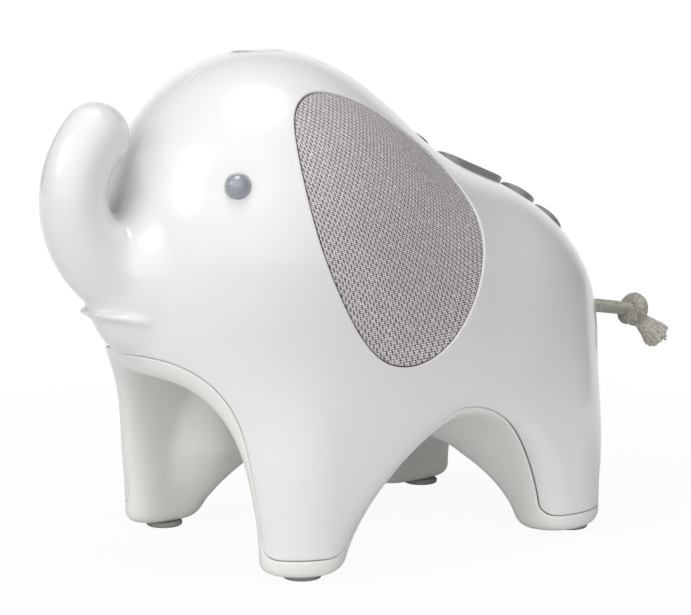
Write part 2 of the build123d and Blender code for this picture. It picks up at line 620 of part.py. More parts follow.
# Tail: a plug through the rump, then rope to its knot and the frayed end below it
rope_radius = rope_diameter / 2
plug_x, plug_z = rope_route[0][0], rope_route[0][2]
flange_reach = rope_radius + tail_plug_flange
rump = torso_x + min(
    reach_to_skin((torso_x, 0, plug_z + side * flange_reach), (1, 0, 0), wall + close_gap) for side in (-1, 1)
)
rearward = Pos(0, 0, plug_z) * Rot(0, 90, 0)
shell_cuts.append(rearward * Pos(0, 0, torso_x) * rod(rope_radius + fit_gap, torso_radii[0] * 2))
plug_low = rump - tail_plug_thickness
plug_place = rearward * Pos(0, 0, plug_low)
plug = rod(flange_reach, tail_plug_thickness) + rod(rope_radius, plug_x - plug_gap - plug_low)
nodes["tail_plug"] = plug_place * plug
route = [Vector(*point) for point in rope_route]
runs = [end - start for start, end in zip(route, route[1:])]
arc_radii = []
for first, second in zip(runs, runs[1:]):
    turn = radians(first.get_angle(second))
    arc_radii.append(rope_arc_share * min(first.length, second.length) / tan(turn / 2))
print("rope bend radii, mm:", [round(radius, 1) for radius in arc_radii])
rope_path = FilletPolyline(*rope_route, radius=arc_radii)
rope_end = Plane(origin=rope_path @ 0, z_dir=rope_path % 0)
rope = sweep(rope_end * Circle(rope_radius), path=rope_path)
rope_section = pi * rope_radius**2
print("rope length, mm:", round(rope_path.length, 2))
print("rope volume over section, mm:", round(rope.volume / rope_section, 2))
nodes["tail_rope"] = rope
bore = sweep(rope_end * Circle(rope_radius + close_gap / 2), path=rope_path)
knot_place = Pos(*rope_route[-1]) * Rot(0, knot_lean, 0)
knot_ball = knot_place * scale(Sphere(1), by=knot_radii)
knot_band = knot_place * Rot(0, 90, 0) * Torus(knot_band_radius, knot_band_thickness)
knot = knot_ball + knot_band
nodes["tail_knot"] = knot - bore
start, end = Vector(*tuft_start), Vector(*tuft_end)
heading = end - start
tuft_faces = []
for share, radius in ((0, tuft_start_radius), (tuft_middle_share, tuft_middle_radius), (1, tuft_end_radius)):
    tuft_faces.append(Plane(origin=start + heading * share, x_dir=(0, 1, 0), z_dir=heading) * Circle(radius))
nodes["tail_tuft"] = loft(tuft_faces) - knot - bore

nodes["underbody"] = underbody
shell = shell + shell_adds - shell_cuts
nodes["shell_right"] = shell
nodes["shell_left"] = left_of(shell)

os.makedirs("parts", exist_ok=True)
for name, piece in nodes.items():
    export_step(piece, os.path.join("parts", name + ".step"))
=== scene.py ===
from math import atan2, cos, pi, radians, sin, sqrt

import bpy
import numpy as np
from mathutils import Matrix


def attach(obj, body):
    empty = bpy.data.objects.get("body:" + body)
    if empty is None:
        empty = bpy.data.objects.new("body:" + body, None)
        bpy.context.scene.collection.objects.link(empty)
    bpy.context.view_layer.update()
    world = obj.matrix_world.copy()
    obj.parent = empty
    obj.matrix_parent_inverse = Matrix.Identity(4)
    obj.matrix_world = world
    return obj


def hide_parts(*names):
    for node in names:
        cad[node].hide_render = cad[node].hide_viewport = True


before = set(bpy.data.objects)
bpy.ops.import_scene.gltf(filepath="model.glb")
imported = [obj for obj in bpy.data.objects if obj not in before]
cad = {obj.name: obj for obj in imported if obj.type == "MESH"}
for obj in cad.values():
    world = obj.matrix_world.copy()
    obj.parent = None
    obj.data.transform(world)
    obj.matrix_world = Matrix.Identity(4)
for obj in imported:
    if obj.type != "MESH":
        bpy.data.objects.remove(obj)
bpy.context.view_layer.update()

# Camera: a long lens a little above the elephant's eye level, in front of it and to its left,
# so that the face, one ear, the buttons and the tail are all in view.
lens_length, sensor_width = 114.616, 36.0
camera_place, camera_tilt, camera_turn = (-0.423983, -0.597729, 0.185806), 8.415225, -35.736474
camera_data = bpy.data.cameras.new("camera")
camera_data.sensor_fit = "HORIZONTAL"
camera_data.sensor_width = sensor_width
camera_data.lens = lens_length
camera = bpy.data.objects.new("camera", camera_data)
camera.location = camera_place
camera.rotation_euler = (radians(90 - camera_tilt), 0, radians(camera_turn))
bpy.context.scene.collection.objects.link(camera)
bpy.context.scene.camera = camera
bpy.context.scene.view_settings.view_transform = "Standard"


# Studio: a white sweep of paper under and behind the elephant, a bright wall behind the camera, one
# soft box overhead and a small one ahead. Surfaces are painted by shader maths, written as channels.
class Channel:
    """A value on its way through a material's nodes; sums and products of channels add Math nodes."""

    def __init__(self, tree, socket=None):
        self.tree = tree
        self.socket = socket

    def node(self, kind, settings=(), sockets=(), output=0):
        """Add one node, with its settings first and then its sockets' values or links."""
        made = self.tree.nodes.new(kind if kind.startswith("Geometry") else "ShaderNode" + kind)
        for name, value in dict(settings).items():
            setattr(made, name, value)
        for name, value in dict(sockets).items():
            if isinstance(value, Channel):
                self.tree.links.new(value.socket, made.inputs[name])
            else:
                made.inputs[name].default_value = value
        return Channel(self.tree, made.outputs[output])

    def math(self, operation, *values):
        return self.node("Math", {"operation": operation}, enumerate(values))

    def vector(self, operation, *values, output=0):
        return self.node("VectorMath", {"operation": operation}, enumerate(values), output)

    def __add__(self, other):
        return self.math("ADD", self, other)

    def __sub__(self, other):
        return self.math("SUBTRACT", self, other)

    def __rsub__(self, other):
        return self.math("SUBTRACT", other, self)

    def __mul__(self, other):
        return self.math("MULTIPLY", self, other)

    def __truediv__(self, other):
        return self.math("DIVIDE", self, other)

    __radd__ = __add__
    __rmul__ = __mul__

    def clip(self, low, high):
        """How far the value is from low to high, kept between 0 and 1."""
        sockets = {"Value": self, "From Min": low, "From Max": high}
        return self.node("MapRange", {"interpolation_type": "SMOOTHSTEP"}, sockets)

    def tint(self, low, high):
        """A colour between two, by this value."""
        def linear(colour):
            return (*colour, 1) if isinstance(colour, tuple) else colour
        sockets = {"Factor": self, 6: linear(low), 7: linear(high)}
        return self.node("Mix", {"data_type": "RGBA"}, sockets, 2)


def material(name):
    """A new material, its place channel in object space, and its shader node."""
    made = bpy.data.materials.new(name)
    made.use_nodes = True
    start = Channel(made.node_tree)
    shader = made.node_tree.nodes["Principled BSDF"]
    place = start.node("TexCoord", output=3)
    return made, place, shader


def feed(shader, **values):
    """Set or link the shader's sockets, named with underscores."""
    for name, value in values.items():
        socket = shader.inputs[name.replace("_", " ").title().replace("Ior", "IOR")]
        if isinstance(value, Channel):
            value.tree.links.new(value.socket, socket)
        else:
            socket.default_value = value


def noise(place, scale, detail=2.0, rough=0.5):
    sockets = {"Vector": place, "Scale": scale, "Detail": detail, "Roughness": rough}
    return place.node("TexNoise", (), sockets)


def bump(height, depth, strength=1.0):
    return height.node("Bump", (), {"Height": height, "Distance": depth, "Strength": strength})


floor_half = 6.0
floor_mesh = bpy.data.meshes.new("floor")
corners = [(-floor_half, -floor_half, 0), (floor_half, -floor_half, 0), (floor_half, floor_half, 0),
           (-floor_half, floor_half, 0)]
floor_mesh.from_pydata(corners, [], [(0, 1, 2, 3)])
floor = bpy.data.objects.new("floor", floor_mesh)
bpy.context.scene.collection.objects.link(floor)


def shown_rays(backdrop):
    """1 for rays from the camera or through glass, and for glossy ones that meet the backdrop."""
    camera_ray, glossy, through = [backdrop.node("LightPath", output=kind) for kind in (0, 3, 6)]
    total = camera_ray + through + glossy * backdrop
    return total.math("MINIMUM", total, 1.0)


def toward(place, direction):
    """How far a place lies in a direction."""
    return place.vector("DOT_PRODUCT", place, direction, output=1)


view_ahead = (0.584, 0.812, 0.0)
lit_paper, shown_paper = (0.76, 0.76, 0.76), (0.9, 0.9, 0.9)
shadow_reach, shadow_share = (0.10, 0.40), 0.06
paper_fade, sky_fade = (-0.02, 0.25), (0.75, 0.95)
paper, place, shader = material("paper")
shown = shown_rays(toward(place, view_ahead).clip(*paper_fade))
feed(shader, base_color=shown.tint(lit_paper, shown_paper), roughness=0.8)
away = place.vector("LENGTH", place, output=1)
far = away.clip(*shadow_reach) * shadow_share + (1 - shadow_share)
white = far.node("Emission", (), {"Color": (1, 1, 1, 1), "Strength": 1.0})
mixed = far.node("MixShader", (), {0: far * shown, 2: white})
paper.node_tree.links.new(shader.outputs[0], mixed.socket.node.inputs[1])
paper.node_tree.links.new(mixed.socket, paper.node_tree.nodes["Material Output"].inputs[0])
floor_mesh.materials.append(paper)

world = bpy.data.worlds.new("studio")
bpy.context.scene.world = world
world.use_nodes = True
dim, wall_glow, wall_side = 0.10, 1.6, (-0.684, -0.708, 0.174)
direction = Channel(world.node_tree).node("TexCoord")
glow = toward(direction, wall_side)
glow = glow.math("MAXIMUM", glow, 0.0)
glow = glow * glow * wall_glow + dim
shown = shown_rays(toward(direction, view_ahead).clip(*sky_fade))
sky = glow + shown * (1.0 - glow)
ground = world.node_tree.nodes["Background"]
world.node_tree.links.new(sky.socket, ground.inputs["Strength"])
ground.inputs["Color"].default_value = (1, 1, 1, 1)


def soft_box(name, place, aim, size, power):
    lamp_data = bpy.data.lights.new(name, "AREA")
    lamp_data.shape = "DISK"
    lamp_data.size = size
    lamp_data.energy = power
    lamp = bpy.data.objects.new(name, lamp_data)
    lamp.location = place
    direction = [a - p for a, p in zip(aim, place)]
    flat = sqrt(direction[0] ** 2 + direction[1] ** 2)
    lamp.rotation_euler = (pi / 2 + atan2(direction[2], flat), 0, atan2(-direction[0], direction[1]))
    bpy.context.scene.collection.objects.link(lamp)


lamp_aim, box_width = (0.0, 0.0, 0.08), 0.68
soft_box("box_over", (-0.2, -0.05, 1.26), lamp_aim, box_width, 6.6)
soft_box("box_ahead", (-1.12, 0.1, 0.73), lamp_aim, box_width, 2.6)


def add_piece(name, points, faces, finish, node, body="body"):
    """A mesh piece from millimetre points that rides on a body and stands for a CAD node."""
    mesh = bpy.data.meshes.new(name)
    if isinstance(faces, np.ndarray):
        faces = faces.tolist()
    mesh.from_pydata((points / 1000).tolist(), [], faces)
    mesh.polygons.foreach_set("use_smooth", np.ones(len(mesh.polygons), bool))
    mesh.materials.append(finish)
    mesh.validate()
    piece = bpy.data.objects.new(name, mesh)
    bpy.context.scene.collection.objects.link(piece)
    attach(piece, body)
    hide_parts(node)
    return piece


# Tail: grey-beige cotton cord pushed through a hole in the rump and held by a plug inside.
# It hangs out level, is tied in one overhand knot and is cut off just past it.
def baked(holder):
    """The mesh that an object's curve or modifiers make; the object itself is taken away."""
    bpy.context.scene.collection.objects.link(holder)
    bpy.context.view_layer.update()
    made = bpy.data.meshes.new_from_object(holder.evaluated_get(bpy.context.evaluated_depsgraph_get()))
    bpy.data.objects.remove(holder)
    return made


def smoothed(points, steps=24):
    """A smooth line guided by a few millimetre points, read from a NURBS spline."""
    data = bpy.data.curves.new("line", "CURVE")
    data.dimensions = "3D"
    spline = data.splines.new("NURBS")
    spline.points.add(len(points) - 1)
    for control, point in zip(spline.points, points):
        control.co = (*(np.asarray(point) / 1000), 1)
    spline.order_u = 3
    spline.use_endpoint_u = True
    spline.resolution_u = steps
    line = baked(bpy.data.objects.new("line", data))
    return np.array([v.co for v in line.vertices]) * 1000


rope_route = [(106.0, 0, 71.4), (114.0, 0, 68.7), (126.0, 0, 67.0), (138.2, 0, 64.8)]
rope_radius = 2.5
rope_line = smoothed(rope_route)


def unit(vectors):
    """Vectors made one long."""
    return vectors / np.linalg.norm(vectors, axis=-1, keepdims=True)


def along(points, count):
    """Even points along a line, with the direction at each."""
    points = np.asarray(points, float)
    reach = np.concatenate([[0], np.cumsum(np.linalg.norm(np.diff(points, axis=0), axis=1))])
    places = np.linspace(0, reach[-1], count)
    even = np.stack([np.interp(places, reach, points[:, k]) for k in range(3)], -1)
    return even, unit(np.gradient(even, axis=0)), places


def tube_faces(rows, sides):
    """Numbers of a tube's points, row by row, and the quads between its rows."""
    ids = np.arange(rows * sides).reshape(rows, sides)
    ahead = np.roll(ids, -1, axis=1)
    return ids, np.stack([ids[:-1], ids[1:], ahead[1:], ahead[:-1]], -1).reshape(-1, 4).tolist()


def cord_mesh(points, count, sides, radius):
    """A round braided cord along a line."""
    even, heading, places = along(points, count)
    side = np.cross(heading, (0.0, 1.0, 0.0))
    for index in range(1, count):
        side[index] = side[index - 1] - heading[index] * (side[index - 1] @ heading[index])
    side = unit(side)
    up = np.cross(side, heading)
    turn = np.linspace(0, 2 * pi, sides, endpoint=False)
    girth = radius * braid(turn[None, :], places[:, None])
    rings = even[:, None] + girth[..., None] * (
        np.cos(turn)[None, :, None] * side[:, None] + np.sin(turn)[None, :, None] * up[:, None])
    ids, faces = tube_faces(count, sides)
    return rings.reshape(-1, 3), faces + [ids[0].tolist(), ids[-1, ::-1].tolist()]


def braid(turn, place, strands=6, lay=9.0, depth=0.07):
    """Relief of a braided cord: ridges that wind both ways and pass over one another."""
    wind = 2 * pi * place / lay
    left = np.cos(strands * (turn + wind) / 2) ** 2
    right = np.cos(strands * (turn - wind) / 2) ** 2
    over = 0.5 + 0.5 * np.cos(strands * turn) * np.cos(strands * wind)
    return 1 - depth * (1 - np.maximum(left * (0.55 + 0.45 * over), right * (1 - 0.45 * over)))


cotton, place, shader = material("cotton_cord")
strand_noise = noise(place, 900.0, 4.0, 0.6)
fluff = noise(place, 2600.0, 2.0, 0.7)
patch = noise(place, 160.0, 2.0)
shade_of_cotton = (strand_noise * 0.75 + patch * 0.25).clip(0.3, 0.7)
feed(shader, base_color=shade_of_cotton.tint((0.22, 0.215, 0.185), (0.53, 0.515, 0.455)), roughness=0.95,
     sheen_weight=0.35, sheen_roughness=0.5, normal=bump(strand_noise * 0.6 + fluff * 0.4, 0.00035))

points, faces = cord_mesh(rope_line, 120, 48, rope_radius)
rope = add_piece("tail_cord", points, faces, cotton, "tail_rope")

knot_cord_radius = 2.7
knot_turns = (
    (-1.6, 0, 180), (-1.9, 2.2, 175), (-1.7, 3.6, 190), (-1.0, 3.9, 230), (0.0, 3.9, 280),
    (0.6, 3.9, 330), (0.9, 3.9, 360), (1.0, 3.9, 405), (1.0, 3.9, 450), (0.9, 3.9, 500),
    (1.2, 3.7, 540), (2.4, 2.9, 560), (4.0, 2.0, 570), (5.0, 1.6, 575),
)
rope_heading = unit(np.array(rope_route[-1]) - np.array(rope_route[-2]))
near_side = np.array([0.0, -1.0, 0.0])
knot_up = np.cross(near_side, rope_heading)
knot_route = []
for ahead, radius, turn in knot_turns:
    out = cos(radians(turn)) * knot_up + sin(radians(turn)) * near_side
    knot_route.append(np.array(rope_route[-1]) + ahead * rope_heading + radius * out)
points, faces = cord_mesh(smoothed(knot_route, 12), 200, 32, knot_cord_radius)
knot = add_piece("tail_tied_knot", points, faces, cotton, "tail_knot")

tuft_start, tuft_end = np.array([141.0, 0.0, 61.4]), np.array([151.6, 0.0, 53.4])
tuft_sizes = {"Strands": 520, "Length": float(np.linalg.norm(tuft_end - tuft_start)), "Root radius": 2.2,
              "End radius": 4.9, "Strand radius": 0.42}
golden_turn = 2.39996


def fray_tree(finish):
    """Loose strands that leave a cut cord as a bundle, spread and wave towards their ends."""
    tree = bpy.data.node_groups.new("fray", "GeometryNodeTree")
    for name, value in tuft_sizes.items():
        kind = "NodeSocketInt" if isinstance(value, int) else "NodeSocketFloat"
        tree.interface.new_socket(name, in_out="INPUT", socket_type=kind)
    tree.interface.new_socket("Geometry", in_out="OUTPUT", socket_type="NodeSocketGeometry")
    sizes = tree.nodes.new("NodeGroupInput")
    count, length, root, end, thick = [Channel(tree, sizes.outputs[k]) for k in range(5)]
    start = Channel(tree)

    def step(kind, settings=(), **sockets):
        """One geometry node, with its sockets named with underscores."""
        named = {name.replace("_", " ").title(): value for name, value in sockets.items()}
        return start.node("GeometryNode" + kind, settings, named)

    order = step("InputIndex")
    rank = order / count
    turn = order * golden_turn
    dots = step("Points", count=count)
    for name, value in (("spread", rank.math("SQRT", rank)), ("turn", turn), ("rank", order)):
        dots = step("StoreNamedAttribute", {"data_type": "FLOAT", "domain": "POINT"}, geometry=dots,
                    name=name, value=value)
    strand = step("CurvePrimitiveLine", start=(0, 0, 0), end=(0, 0, 1))
    strand = step("ResampleCurve", curve=strand, count=12)
    copies = step("InstanceOnPoints", points=dots, instance=strand)
    copies = step("RealizeInstances", geometry=copies)
    spread, turn, rank = [step("InputNamedAttribute", {"data_type": "FLOAT"}, name=name)
                          for name in ("spread", "turn", "rank")]
    reach = step("SplineParameter")
    sockets = {"W": rank * 3.7, "Scale": 1.0, "Detail": 0.0}
    longer = start.node("TexNoise", {"noise_dimensions": "1D"}, sockets)
    far_along = reach * length * (longer * 0.24 + 0.86) - reach * reach * spread * spread * 1.2
    out = spread * (root + (end - root) * reach.math("POWER", reach, 1.25))
    swirl = turn + reach * (longer - 0.5) * 1.2
    spot = start.node("CombineXYZ", (), {0: rank * 1.9, 1: reach * 2.2, 2: 0.0})
    waver = start.node("TexNoise", (), {"Vector": spot, "Scale": 1.0, "Detail": 1.0}, 1)
    waver = start.vector("SUBTRACT", waver, (0.5, 0.5, 0.5))
    waver = start.node("VectorMath", {"operation": "SCALE"}, {0: waver, "Scale": reach * 1.6})
    right, up = out * swirl.math("COSINE", swirl), out * swirl.math("SINE", swirl)
    spot = start.node("CombineXYZ", (), {0: right, 1: up, 2: far_along})
    moved = step("SetPosition", geometry=copies, position=start.vector("ADD", spot, waver))
    ring = step("CurvePrimitiveCircle", resolution=6, radius=thick)
    shape = step("CurveToMesh", curve=moved, profile_curve=ring, fill_caps=True)
    shape = step("SetShadeSmooth", geometry=shape)
    shape = step("RealizeInstances", geometry=shape)
    shape = step("SetMaterial", geometry=shape, material=finish)
    tree.links.new(shape.socket, tree.nodes.new("NodeGroupOutput").inputs[0])
    return tree


pale_cotton, place, shader = material("frayed_cotton")
hair = noise(place, 1100.0, 3.0, 0.6)
feed(shader, base_color=hair.clip(0.3, 0.7).tint((0.44, 0.425, 0.375), (0.72, 0.70, 0.63)), roughness=0.95,
     sheen_weight=0.35, sheen_roughness=0.5, normal=bump(hair, 0.0002))
fray = bpy.data.objects.new("fray", bpy.data.meshes.new("fray"))
modifier = fray.modifiers.new("fray", "NODES")
modifier.node_group = fray_tree(pale_cotton)
for item in modifier.node_group.interface.items_tree:
    if item.in_out == "INPUT":
        modifier[item.identifier] = tuft_sizes[item.name]
strands = baked(fray)
points = np.array([v.co for v in strands.vertices])
faces = [list(face.vertices) for face in strands.polygons]
heading = unit(tuft_end - tuft_start)
side = np.array([0.0, 1.0, 0.0])
points = points @ np.stack([side, np.cross(heading, side), heading]) + tuft_start
tuft = add_piece("tail_frayed_end", points, faces, pale_cotton, "tail_tuft")

# Shell and underbody: moulded plastic, two pearl white glossy halves that meet on the middle plane
# and a satin underbody, screwed up into them, with the belly, the insides of the legs and the soles.
# The outside is one rounded form, cut along the seams, with rolled edges and an inner wall.
head_centre, head_radii = (-27.4, 0.0, 106.3), (51.5, 54.7, 58.4)
torso_centre, torso_radii = (17.9, 0.0, 67.7), (89.2, 54.3, 59.0)
skirt_x, skirt_half, skirt_corner, skirt_top = 13.2, (72.2, 54.9), 22.9, 51.6
neck_blend, skirt_blend, skirt_roll = 38.0, 28.7, 31.8
trunk_centre, trunk_bend, trunk_opening = (-72.0, 115.0), 20.6, 8.7
trunk_radii, trunk_sweep, trunk_blend = (17.5, 10.6), (-90.0, 54.0), 10.0
flare_radius, flare_back, flare_blend = 21.0, 15.0, 2.0
lip_centre, lip_radii, lip_rise, lip_blend = (-77.0, 0.0, 80.9), (16.4, 17.0, 2.5), 0.17, 1.8
chin_centre, chin_radii, chin_blend = (-72.0, 0.0, 84.0), (17.5, 15.7, 16.0), 5.0
side_arch_x, side_reaches, side_top, side_powers = 13.0, (42.0, 37.0), 46.0, (1.5, 2.3)
inner_drop, inner_soften, inner_edge, inner_run = 9.5, 0.5, 54.0, 30.0
front_half, front_top, front_power = 35.0, 61.3, 3.2
belly_half, belly_narrowing, belly_roll = 37.5, 14.0, 2.0
belly_x, belly_run, belly_low, belly_rise = (-50.0, 78.0), 24.0, 1.0, 26.0
leg_high, leg_run, arch_unit = 50.0, 45.0, 38.0
leg_roll, rim_roll, roll_growth = 1.0, 8.0, (6.0, 5.0)
sole_z, sole_roll = 1.8, 5.0


def least(first, second, reach):
    """The lesser of two distances, with a fillet where they meet."""
    share = np.clip(0.5 + 0.5 * (second - first) / reach, 0, 1)
    return second + (first - second) * share - reach * share * (1 - share)


def most(first, second, reach):
    return -least(-first, -second, reach)


def ellipsoid(p, centre, radii):
    offset = (p - np.array(centre)) / np.array(radii)
    near = np.sqrt((offset**2).sum(-1))
    slope = np.sqrt(((offset / np.array(radii)) ** 2).sum(-1))
    return near * (near - 1) / np.maximum(slope, 1e-9)


def bell(p):
    """The body before its trunk and arches."""
    x, y, z = p[..., 0], p[..., 1], p[..., 2]
    head = ellipsoid(p, head_centre, head_radii)
    torso = ellipsoid(p, torso_centre, torso_radii)
    out_x = np.abs(x - skirt_x) - skirt_half[0] + skirt_corner
    out_y = np.abs(y) - skirt_half[1] + skirt_corner
    skirt = np.hypot(np.maximum(out_x, 0), np.maximum(out_y, 0)) + np.minimum(np.maximum(out_x, out_y), 0)
    skirt = most(skirt - skirt_corner, z - skirt_top, skirt_roll)
    return least(least(head, torso, neck_blend), skirt, skirt_blend)


def trunk(p):
    """A tapered tube that curls up round a point above the mouth, with a flared root."""
    x, y, z = p[..., 0], p[..., 1], p[..., 2]
    angle = np.degrees(np.arctan2(z - trunk_centre[1], trunk_centre[0] - x))
    share = np.clip((angle - trunk_sweep[0]) / (trunk_sweep[1] - trunk_sweep[0]), 0, 1)
    share = np.where((angle < -90) | (x > trunk_centre[0]) & (z < trunk_centre[1]), 0, share)
    bend = trunk_bend + trunk_opening * share**1.6
    turn = np.radians(trunk_sweep[0] + (trunk_sweep[1] - trunk_sweep[0]) * share)
    radius = trunk_radii[1] + (trunk_radii[0] - trunk_radii[1]) * (1 - share) ** 3
    middle_x, middle_z = trunk_centre[0] - bend * np.cos(turn), trunk_centre[1] + bend * np.sin(turn)
    curl = np.sqrt((x - middle_x) ** 2 + y**2 + (z - middle_z) ** 2) - radius
    root = np.clip((x - trunk_centre[0]) / flare_back, 0, 1)
    flare_x, flare_z = trunk_centre[0] + flare_back * root, trunk_centre[1] - trunk_bend
    flare = np.sqrt((x - flare_x) ** 2 + y**2 + (z - flare_z) ** 2)
    return least(curl, flare - trunk_radii[0] - (flare_radius - trunk_radii[0]) * root, flare_blend)


def side_arch(p, reaches, top, powers):
    """Distance outside the arch that runs across, its reach and roundness ahead and behind."""
    ahead = p[..., 0] < side_arch_x
    reach, power = np.where(ahead, *reaches), np.where(ahead, *powers)
    across, rise = np.abs(p[..., 0] - side_arch_x) / reach, np.maximum(p[..., 2], 0) / top
    return ((across**power + rise**power) ** (1 / power) - 1) * arch_unit


def front_arch(p, half, top, power):
    """Distance outside the arch that runs from chest to rump."""
    across, rise = np.abs(p[..., 1]) / half, np.maximum(p[..., 2], 0) / top
    return ((across**power + rise**power) ** (1 / power) - 1) * half


def slope_of(field, p, step=0.1):
    """The gradient of a field at points."""
    slopes = []
    for axis in np.eye(3) * step:
        slopes.append((field(p + axis) - field(p - axis)) / (2 * step))
    return np.stack(slopes, -1)


eye_x, eye_z, widest_half = -61.5, 124.7, 80.0
dish_radius, dish_depth, dish_roll = 8.5, 0.8, 2.0


def to_skin(place_at, near, far):
    """How far out the skin of the bell lies, found by halving the way from near to far."""
    for _ in range(50):
        middle = (near + far) / 2
        inside = bell(place_at(middle)) < 0
        near, far = np.where(inside, middle, near), np.where(inside, far, middle)
    return near


def side_of(x, z):
    """The place on the body's right side at this length and height, and the direction out of it."""
    found = np.array([x, to_skin(lambda y: np.array([x, y, z]), 0.0, widest_half), z])
    return found, unit(slope_of(bell, found[None])[0])


eye_place, eye_out = side_of(eye_x, eye_z)
dish_ball = (dish_radius**2 + dish_depth**2) / (2 * dish_depth)
dish_centre = eye_place + eye_out * (dish_ball - dish_depth)


def eased(value):
    """A soft step from 0 to 1."""
    value = np.clip(value, 0, 1)
    return value * value * (3 - 2 * value)


def elephant(p):
    """Distance outside the whole body, legs cut free; the arches are lower and closer at the belly."""
    x, y, z = p[..., 0], np.abs(p[..., 1]), p[..., 2]
    low, inward = eased((leg_high - z) / leg_run), eased((inner_edge - y) / inner_run)
    belly = eased((x - belly_x[0]) / belly_run) * eased((belly_x[1] - x) / belly_run)
    belly = belly * np.clip((z - belly_low) / belly_rise, 0, 1)
    powers = side_powers[0], side_powers[1] - inner_soften * inward
    across = side_arch(p, side_reaches, side_top - inner_drop * inward, powers)
    channel = y - belly_half + belly_narrowing * belly
    along_body = most(front_arch(p, front_half, front_top, front_power), channel, belly_roll)
    legs = most(-across, -along_body, leg_roll + roll_growth[0] * low)
    outside = least(bell(p), trunk(p), trunk_blend)
    outside = least(outside, ellipsoid(p, chin_centre, chin_radii), chin_blend)
    lip_tilt = np.stack([0 * x, 0 * x, lip_rise * (x - lip_centre[0])], -1)
    outside = least(outside, ellipsoid(p + lip_tilt, lip_centre, lip_radii), lip_blend)
    body = most(outside, legs, rim_roll + roll_growth[1] * low)
    body = most(body, sole_z - z, sole_roll)
    return most(body, dish_ball - np.linalg.norm(p - dish_centre, axis=-1), dish_roll)


def settled(p, field):
    """Points moved on to the zero surface of a field."""
    for _ in range(3):
        slope = slope_of(field, p)
        p = p - field(p)[:, None] * slope / np.maximum((slope**2).sum(-1), 0.05)[:, None]
    return p


def skin_of(field, low, high, step):
    """Points and triangles of a field's zero surface inside a box."""
    axes = [np.arange(a, b + step, step) for a, b in zip(low, high)]
    value = np.stack([field(np.stack(np.meshgrid([x], *axes[1:], indexing="ij"), -1))[0] for x in axes[0]])
    shape = np.array(value.shape) - 1

    def corner(offset):
        return value[tuple(slice(o, o + n) for o, n in zip(offset, shape))]

    total, hits = np.zeros((*shape, 3)), np.zeros(shape)
    for axis in range(3):
        for offset in np.ndindex(2, 2, 2):
            if offset[axis]:
                continue
            end = list(offset)
            end[axis] = 1
            first, second = corner(offset), corner(end)
            cross = (first < 0) != (second < 0)
            share = np.where(cross, first / np.where(cross, first - second, 1), 0)
            hits += cross
            for k in range(3):
                total[..., k] += np.where(cross, offset[k] + (share if k == axis else 0), 0)
    used = hits > 0
    cells = np.full(shape, -1)
    cells[used] = np.arange(used.sum())
    points = (np.argwhere(used) + total[used] / hits[used][:, None]) * step + np.array([a[0] for a in axes])
    quads = []
    for axis in range(3):
        b, c = (axis + 1) % 3, (axis + 2) % 3
        inner = [slice(1, n) for n in shape]
        inner[axis] = slice(0, shape[axis])
        first = value[tuple(inner)]
        ahead = list(inner)
        ahead[axis] = slice(1, shape[axis] + 1)
        cross = np.argwhere((first < 0) != (value[tuple(ahead)] < 0))
        base = cross.copy()
        base[:, b] += 1
        base[:, c] += 1
        outward = value[tuple(base.T)] < 0
        ring = []
        for back_b, back_c in ((1, 1), (0, 1), (0, 0), (1, 0)):
            cell = base.copy()
            cell[:, b] -= back_b
            cell[:, c] -= back_c
            ring.append(cells[tuple(cell.T)])
        ring = np.stack(ring, -1)
        ring[~outward] = ring[~outward][:, ::-1]
        quads.append(ring)
    quads = np.concatenate(quads)
    edges = np.concatenate([quads[:, [k, (k + 1) % 4]] for k in range(4)])
    for _ in range(3):
        near, count = np.zeros_like(points), np.zeros(len(points))
        for a, b in (edges.T, edges.T[::-1]):
            np.add.at(near, a, points[b])
            np.add.at(count, a, 1)
        points = settled(0.4 * points + 0.6 * near / np.maximum(count, 1)[:, None], field)
    split = np.linalg.norm(points[quads[:, 0]] - points[quads[:, 2]], axis=1) < np.linalg.norm(
        points[quads[:, 1]] - points[quads[:, 3]], axis=1)
    triangles = np.concatenate([quads[split][:, [0, 1, 2]], quads[split][:, [0, 2, 3]],
                                quads[~split][:, [1, 2, 3]], quads[~split][:, [1, 3, 0]]])
    return points, triangles


def kept(points, triangles, value):
    """The part of a skin where a value is above zero, and the edges along the cut, in order."""
    above = value > 0
    count = above[triangles].sum(1)
    pairs, made = [], []
    whole = triangles[count == 3]
    for wanted in (1, 2):
        some = triangles[count == wanted]
        flags = above[some] == (wanted == 1)
        first = flags.argmax(1)
        rows = np.arange(len(some))
        some = np.stack([some[rows, (first + k) % 3] for k in range(3)], -1)
        made.append(some)
        pairs += [some[:, [0, 1]], some[:, [0, 2]]]
    ends = np.sort(np.concatenate(pairs), axis=1)
    unique, where = np.unique(ends, axis=0, return_inverse=True)
    where = where.reshape(-1)
    a, b = unique.T
    share = value[a] / (value[a] - value[b])
    cut = points[a] + share[:, None] * (points[b] - points[a])
    where = where + len(points)
    one, two = len(made[0]), len(made[1])
    first_one, second_one = where[:one], where[one:2 * one]
    first_two, second_two = where[2 * one:2 * one + two], where[2 * one + two:]
    triangles = np.concatenate([
        whole, np.stack([made[0][:, 0], first_one, second_one], -1),
        np.stack([made[1][:, 1], made[1][:, 2], second_two], -1),
        np.stack([made[1][:, 1], second_two, first_two], -1)])
    rim = np.concatenate([np.stack([first_one, second_one], -1), np.stack([second_two, first_two], -1)])
    points = np.concatenate([points, cut])
    used, triangles = np.unique(triangles, return_inverse=True)
    renumber = np.full(len(points), -1)
    renumber[used] = np.arange(len(used))
    return points[used], triangles.reshape(-1, 3), renumber[rim]


edge_band, least_slope = 8.0, 0.25


